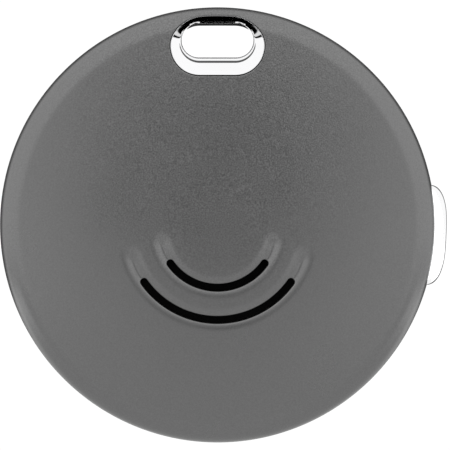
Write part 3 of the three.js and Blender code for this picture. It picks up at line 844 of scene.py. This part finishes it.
class Nodes:
    """The node tree of a material or world, with short calls for the few node kinds used here."""

    def __init__(self, owner):
        owner.use_nodes = True
        self.tree = owner.node_tree
        self.tree.nodes.clear()

    def add(self, kind, settings=None, **inputs):
        """A new node. Inputs go by name, or as i0, i1, ... by number, and take a value or a socket."""
        node = self.tree.nodes.new(kind)
        for name, value in (settings or {}).items():
            setattr(node, name, value)
        for name, value in inputs.items():
            key = int(name[1:]) if name[0] == "i" and name[1:].isdigit() else name.replace("_", " ")
            if isinstance(value, bpy.types.NodeSocket):
                self.tree.links.new(value, node.inputs[key])
            else:
                node.inputs[key].default_value = value
        return node

    def math(self, operation, *values):
        inputs = {f"i{i}": value for i, value in enumerate(values)}
        return self.add("ShaderNodeMath", {"operation": operation}, **inputs).outputs[0]

    def between(self, value, start, end, low, high, kind="LINEAR"):
        inputs = {"Value": value, "From_Min": start, "From_Max": end, "To_Min": low, "To_Max": high}
        return self.add("ShaderNodeMapRange", {"interpolation_type": kind}, **inputs).outputs[0]

    def ease(self, value, start, end, low=0.0, high=1.0):
        return self.between(value, start, end, low, high, "SMOOTHSTEP")

    def place(self):
        return self.add("ShaderNodeTexCoord").outputs["Object"]

    def noise(self, place, scale, detail=3.0, roughness=0.55):
        inputs = {"Vector": place, "Scale": scale, "Detail": detail, "Roughness": roughness}
        return self.add("ShaderNodeTexNoise", None, **inputs).outputs["Fac"]

    def blend(self, part, first, second):
        mixed = self.add("ShaderNodeMix", {"data_type": "RGBA"}, Factor=part)
        mixed.inputs[6].default_value = (*first, 1)
        mixed.inputs[7].default_value = (*second, 1)
        return mixed.outputs[2]


    def surface(self, colour, roughness, height, depth, metallic, **inputs):
        """A shader whose surface stands up to `depth` mm with `height`."""
        bump = self.add("ShaderNodeBump", None, Strength=1.0, Distance=depth * MM, Height=height)
        inputs.update(Base_Color=colour, Roughness=roughness, Metallic=metallic, Normal=bump.outputs[0])
        return self.add("ShaderNodeBsdfPrincipled", None, **inputs).outputs[0]


def grey(value):
    return (value, value, value)


def finish_of(name, colours, roughness, grain, depth, metallic=0.0, pattern=None, over=None, **inputs):
    """A material whose colour, roughness and height all vary.

    colours, roughness: the two ends each varies between; grain: size of the surface grain in mm;
    depth: its height in mm; pattern: makes the height from (nodes, place) in place of plain noise;
    over: makes the whole shader from (nodes, place, the plain one).
    """
    material = bpy.data.materials.new(name)
    nodes = Nodes(material)
    place = nodes.place()
    cloud = nodes.noise(place, 1 / (grain * CLOUD_SIZE * MM))
    height = pattern(nodes, place) if pattern else nodes.noise(place, 1 / (grain * MM), 4.0, 0.6)
    patchy = nodes.math("ADD", nodes.math("MULTIPLY", cloud, 0.5), nodes.math("MULTIPLY", height, 0.5))
    colour = nodes.blend(nodes.between(patchy, 0.3, 0.7, 0, 1), *colours)
    rough = nodes.between(patchy, 0.3, 0.7, *roughness)
    shader = nodes.surface(colour, rough, height, depth, metallic, **inputs)
    if over:
        shader = over(nodes, place, shader)
    nodes.add("ShaderNodeOutputMaterial", None, Surface=shader)
    return material


def turned_lines(nodes, place):
    """Fine rings about the disc's axis, as a lathe or a circular brush leaves them."""
    parts = nodes.add("ShaderNodeSeparateXYZ", None, Vector=place).outputs
    x = nodes.math("SUBTRACT", parts[0], AXIS_X)
    z = nodes.math("SUBTRACT", parts[2], AXIS_Z)
    radius = nodes.math("SQRT", nodes.math("ADD", nodes.math("MULTIPLY", x, x), nodes.math("MULTIPLY", z, z)))
    drift = 0.03  # keeps the rings from running all the way round unchanged
    line = nodes.add("ShaderNodeCombineXYZ", None, X=radius, Y=nodes.math("MULTIPLY", x, drift),
                     Z=nodes.math("MULTIPLY", z, drift)).outputs[0]
    return nodes.noise(line, 9000.0, 2.0, 0.5)


def weave(nodes, place):
    """Plain weave of fine threads in the plane of the face."""
    parts = nodes.add("ShaderNodeSeparateXYZ", None, Vector=place).outputs
    thread = 0.12 * MM
    warp = nodes.math("SINE", nodes.math("MULTIPLY", parts[0], TAU / thread))
    weft = nodes.math("SINE", nodes.math("MULTIPLY", parts[2], TAU / thread))
    return nodes.math("MULTIPLY_ADD", nodes.math("MULTIPLY", warp, weft), 0.5, 0.5)


def scratches(nodes, place):
    """Faint long hairlines over a polished surface."""
    parts = nodes.add("ShaderNodeSeparateXYZ", None, Vector=place).outputs
    along = nodes.math("MULTIPLY", parts[0], 0.08)
    line = nodes.add("ShaderNodeCombineXYZ", None, X=along, Y=parts[1], Z=parts[2]).outputs[0]
    return nodes.noise(line, 6000.0, 3.0, 0.5)


def blasted_metal():
    """Dark metal under fine glass-bead blasting, coarsest above the middle of the face."""
    material = bpy.data.materials.new("bead_blasted_metal")
    nodes = Nodes(material)
    place = nodes.place()
    middle = (AXIS_X, face_low.y, AXIS_Z + 7 * MM)
    reach = nodes.add("ShaderNodeVectorMath", {"operation": "DISTANCE"}, i0=place, i1=middle).outputs["Value"]
    coarse = nodes.ease(reach, 4 * MM, 13 * MM, 1.0, 0.25)
    grain = nodes.noise(place, 1 / (0.1 * MM), 1.0, 0.5)
    pits = nodes.math("SUBTRACT", grain, 0.5)
    amount = nodes.math("MULTIPLY_ADD", nodes.math("MULTIPLY", pits, coarse), 1.6, 0.5)
    cloud = nodes.noise(place, 1 / (6 * MM))
    colour = nodes.blend(nodes.between(amount, 0, 1, 0, 1), grey(0.12), grey(0.285))
    rough = nodes.between(cloud, 0.3, 0.7, 0.27, 0.32)
    shader = nodes.surface(colour, rough, amount, 0.006, 1.0)
    nodes.add("ShaderNodeOutputMaterial", None, Surface=shader)
    return material


def fade_to_white(nodes, place, shader):
    """The plain finish near the middle, the studio's white from 0.6 m away."""
    reach = nodes.add("ShaderNodeVectorMath", {"operation": "LENGTH"}, i0=place).outputs["Value"]
    white = nodes.add("ShaderNodeEmission").outputs[0]
    part = nodes.ease(reach, 0.12, 0.6)
    return nodes.add("ShaderNodeMixShader", None, i0=part, i1=shader, i2=white).outputs[0]


face_metal = blasted_metal()
CHROMES = (grey(0.9), (0.93, 0.93, 0.94))
chrome = finish_of("chrome_plate", CHROMES, (0.03, 0.06), 0.2, 0.0001, 1.0, scratches)
satin_chrome = finish_of("satin_chrome", CHROMES, (0.08, 0.12), 0.2, 0.0001, 1.0, scratches)
back_plastic = finish_of("moulded_plastic", (grey(0.028), grey(0.04)), (0.42, 0.55), 0.14, 0.012)
door_steel = finish_of("brushed_steel", ((0.5, 0.5, 0.51), (0.62, 0.62, 0.63)), (0.24, 0.36), 0.3, 0.0005,
                       1.0, turned_lines)
# Painted shade: a dark finish on the coin slot's floor alone, standing in for the shade inside the recess
slot_painted_shade = finish_of("slot_floor_painted_shade", (grey(0.03), grey(0.06)), (0.5, 0.65), 0.12, 0.004, 1.0)
cell_steel = finish_of("nickel_plate", ((0.62, 0.61, 0.6), (0.72, 0.71, 0.69)), (0.2, 0.3), 0.3, 0.0005,
                       1.0, turned_lines)
brass = finish_of("phosphor_bronze", ((0.72, 0.47, 0.2), (0.82, 0.58, 0.28)), (0.24, 0.36), 0.25, 0.001,
                  1.0, scratches)
frame_plastic = finish_of("frame_plastic", (grey(0.012), grey(0.02)), (0.5, 0.65), 0.16, 0.01)
rubber = finish_of("seal_rubber", (grey(0.012), grey(0.02)), (0.75, 0.88), 0.2, 0.012)
board = finish_of("solder_mask", ((0.006, 0.06, 0.022), (0.01, 0.1, 0.035)), (0.28, 0.4), 0.5, 0.004,
                  Coat_Weight=0.3)
ceramic = finish_of("fired_ceramic", ((0.72, 0.68, 0.58), (0.8, 0.77, 0.68)), (0.45, 0.6), 0.12, 0.005)
epoxy = finish_of("moulded_epoxy", (grey(0.012), grey(0.022)), (0.5, 0.62), 0.09, 0.004)
ferrite = finish_of("ferrite", (grey(0.035), grey(0.055)), (0.55, 0.7), 0.1, 0.006, 0.1)
capacitor = finish_of("barium_ceramic", ((0.3, 0.2, 0.11), (0.38, 0.26, 0.15)), (0.35, 0.5), 0.1, 0.003)
acoustic_cloth = finish_of("acoustic_cloth", (grey(0.002), grey(0.006)), (0.9, 1.0), 0.12, 0.03, 0.0, weave,
                           Specular_IOR_Level=0.05)
pale_floor = finish_of("pale_floor", (grey(0.86), grey(0.9)), (0.7, 0.8), 0.6, 0.01, over=fade_to_white)

NODE_FINISHES = {
    "perimeter_seal": rubber, "button_seal": rubber, "acoustic_mesh": acoustic_cloth, "boost_coil": ferrite,
    "switch_body": cell_steel, "switch_plunger": frame_plastic, "negative_contact": brass,
    "positive_contact": brass, "sounder_contact_1": brass, "sounder_contact_2": brass,
    "frame_screw_1": cell_steel, "frame_screw_2": cell_steel, "frame_screw_3": cell_steel,
}


def finish_cad_nodes():
    """The CAD nodes that stay get a material and softened edges."""
    for node, material in NODE_FINISHES.items():
        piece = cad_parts[node]
        for slot in piece.material_slots:
            slot.material = material
        soften = piece.modifiers.new("edges", "BEVEL")
        soften.width = 0.03 * MM
        soften.segments = 2
        soften.limit_method = "ANGLE"
        soften.angle_limit = math.radians(35)


# --- Studio ------------------------------------------------------------------------------------------

def make_studio():
    """White light, with the dark bands and the dim patch that a photographer's flags leave.

    All of it is set by direction alone, in degrees. The camera itself sees plain white.
    """
    scene = bpy.context.scene
    scene.view_settings.view_transform = "Standard"
    scene.world = bpy.data.worlds.new("studio")
    nodes = Nodes(scene.world)
    toward = nodes.add("ShaderNodeTexCoord").outputs["Generated"]
    _, back, up = nodes.add("ShaderNodeSeparateXYZ", None, Vector=toward).outputs

    def away_from(x, y, z):
        dot = nodes.add("ShaderNodeVectorMath", {"operation": "DOT_PRODUCT"}, i0=toward, i1=(x, y, z))
        angle = nodes.math("ARCCOSINE", nodes.math("MINIMUM", dot.outputs["Value"], 1.0))
        return nodes.math("MULTIPLY", angle, 180 / math.pi)

    def times(first, *others):
        for other in others:
            first = nodes.math("MULTIPLY", first, other)
        return first

    height = nodes.math("MULTIPLY", nodes.math("ARCSINE", up), 180 / math.pi)
    behind = away_from(0, 1, 0)
    # Light from above, down to a little below the level
    above = nodes.ease(height, -13.5, -10.5)
    # A band below it, out to the sides, for the corners of the slot's funnel
    band = times(nodes.ease(height, -28.0, -25.0), nodes.ease(height, -19.0, -17.0, 0.72, 0.0))
    band = times(band, nodes.ease(behind, 42.0, 48.0), nodes.ease(behind, 112.0, 120.0, 1.0, 0.0))
    # Light from behind, for the rim, fading out downwards
    rear = times(nodes.ease(back, 0.3, 0.45, 0.0, 0.8), nodes.ease(height, -40.0, -15.0))
    light = nodes.math("MAXIMUM", nodes.math("ADD", above, band), rear)
    # A dim patch round the camera, which the middle of the face and the slot's lip see
    tilt = math.radians(6)
    dim = nodes.ease(away_from(0, -math.cos(tilt), math.sin(tilt)), 7.0, 20.0, 0.1, 1.05)
    # A dark ring behind, which draws the grey outlines
    ring = nodes.math("MAXIMUM", nodes.ease(behind, 6.0, 12.0, 1.0, 0.12),
                      nodes.ease(behind, 44.0, 62.0, 0.12, 1.0))
    seen = nodes.add("ShaderNodeLightPath").outputs["Is Camera Ray"]
    light = nodes.math("MAXIMUM", times(light, dim, ring), seen)
    glow = nodes.add("ShaderNodeBackground", None, Color=(1, 1, 1, 1), Strength=light)
    nodes.add("ShaderNodeOutputWorld", None, Surface=glow.outputs[0])


def make_floor():
    """A pale matt floor, well below the hanging tag."""
    drop = AXIS_Z - 45 * MM
    half = 0.8
    mesh = bpy.data.meshes.new("floor")
    corners = [(-half, -half, drop), (half, -half, drop), (half, half, drop), (-half, half, drop)]
    mesh.from_pydata(corners, [], [(0, 1, 2, 3)])
    mesh.materials.append(pale_floor)
    floor = bpy.data.objects.new("floor", mesh)
    bpy.context.collection.objects.link(floor)
    floor.visible_glossy = False
    floor.visible_shadow = False


def make_fill(name, targets, energy, toward, width):
    """A soft light `width` degrees wide on a few pieces alone, so that the others keep their dark bands."""
    receivers = bpy.data.collections.new(f"{name}_receivers")
    for target in targets:
        receivers.objects.link(bpy.data.objects[target])
    lamp = bpy.data.lights.new(name, "SUN")
    lamp.angle = math.radians(width)
    lamp.energy = energy
    holder = bpy.data.objects.new(name, lamp)
    holder.rotation_euler = Vector(toward).to_track_quat("-Z", "Y").to_euler()
    holder.light_linking.receiver_collection = receivers
    bpy.context.collection.objects.link(holder)


def make_camera():
    """Level and square on to the face, far enough away to be nearly free of perspective."""
    away = 0.5
    rim_depth = 2.75 * MM  # height of the outline above the back, where the picture's scale is set
    view_width = 31.537 * MM
    aim_x, aim_z = 0.52 * MM, -0.007 * MM
    camera = bpy.data.cameras.new("camera")
    camera.sensor_width = 36.0
    camera.lens = camera.sensor_width * away / view_width
    camera.clip_start = 0.01
    holder = bpy.data.objects.new("camera", camera)
    holder.location = (AXIS_X + aim_x, BACK_Y - rim_depth - away, AXIS_Z + aim_z)
    holder.rotation_euler = (math.pi / 2, 0, 0)
    bpy.context.collection.objects.link(holder)
    bpy.context.scene.camera = holder


make_camera()
make_front_shell()
make_liner()
make_button()
make_rear_shell()
make_door()
make_door_seal()
make_cell()
make_frame()
make_board()
make_chips()
make_sounder()
finish_cad_nodes()
make_studio()
# The face's lower half, and a trace of light in the middle of it
make_fill("under_face", ["face_shell"], 2.2, (0, 0, 1), 154)
make_fill("before_face", ["face_shell"], 0.028, (0, 0.995, -0.1), 26)
# The button's lower end and its side
make_fill("under_button", ["button"], 3.0, (0, 0.5, 0.87), 156)
make_fill("beside_button", ["button"], 0.4, (-0.89, -0.16, 0.42), 44)
# The back
make_fill("behind", ["back_shell", "door", "cell_can_stamped", "cell_frame"], 1.5, (0, -0.94, -0.34), 110)
make_floor()
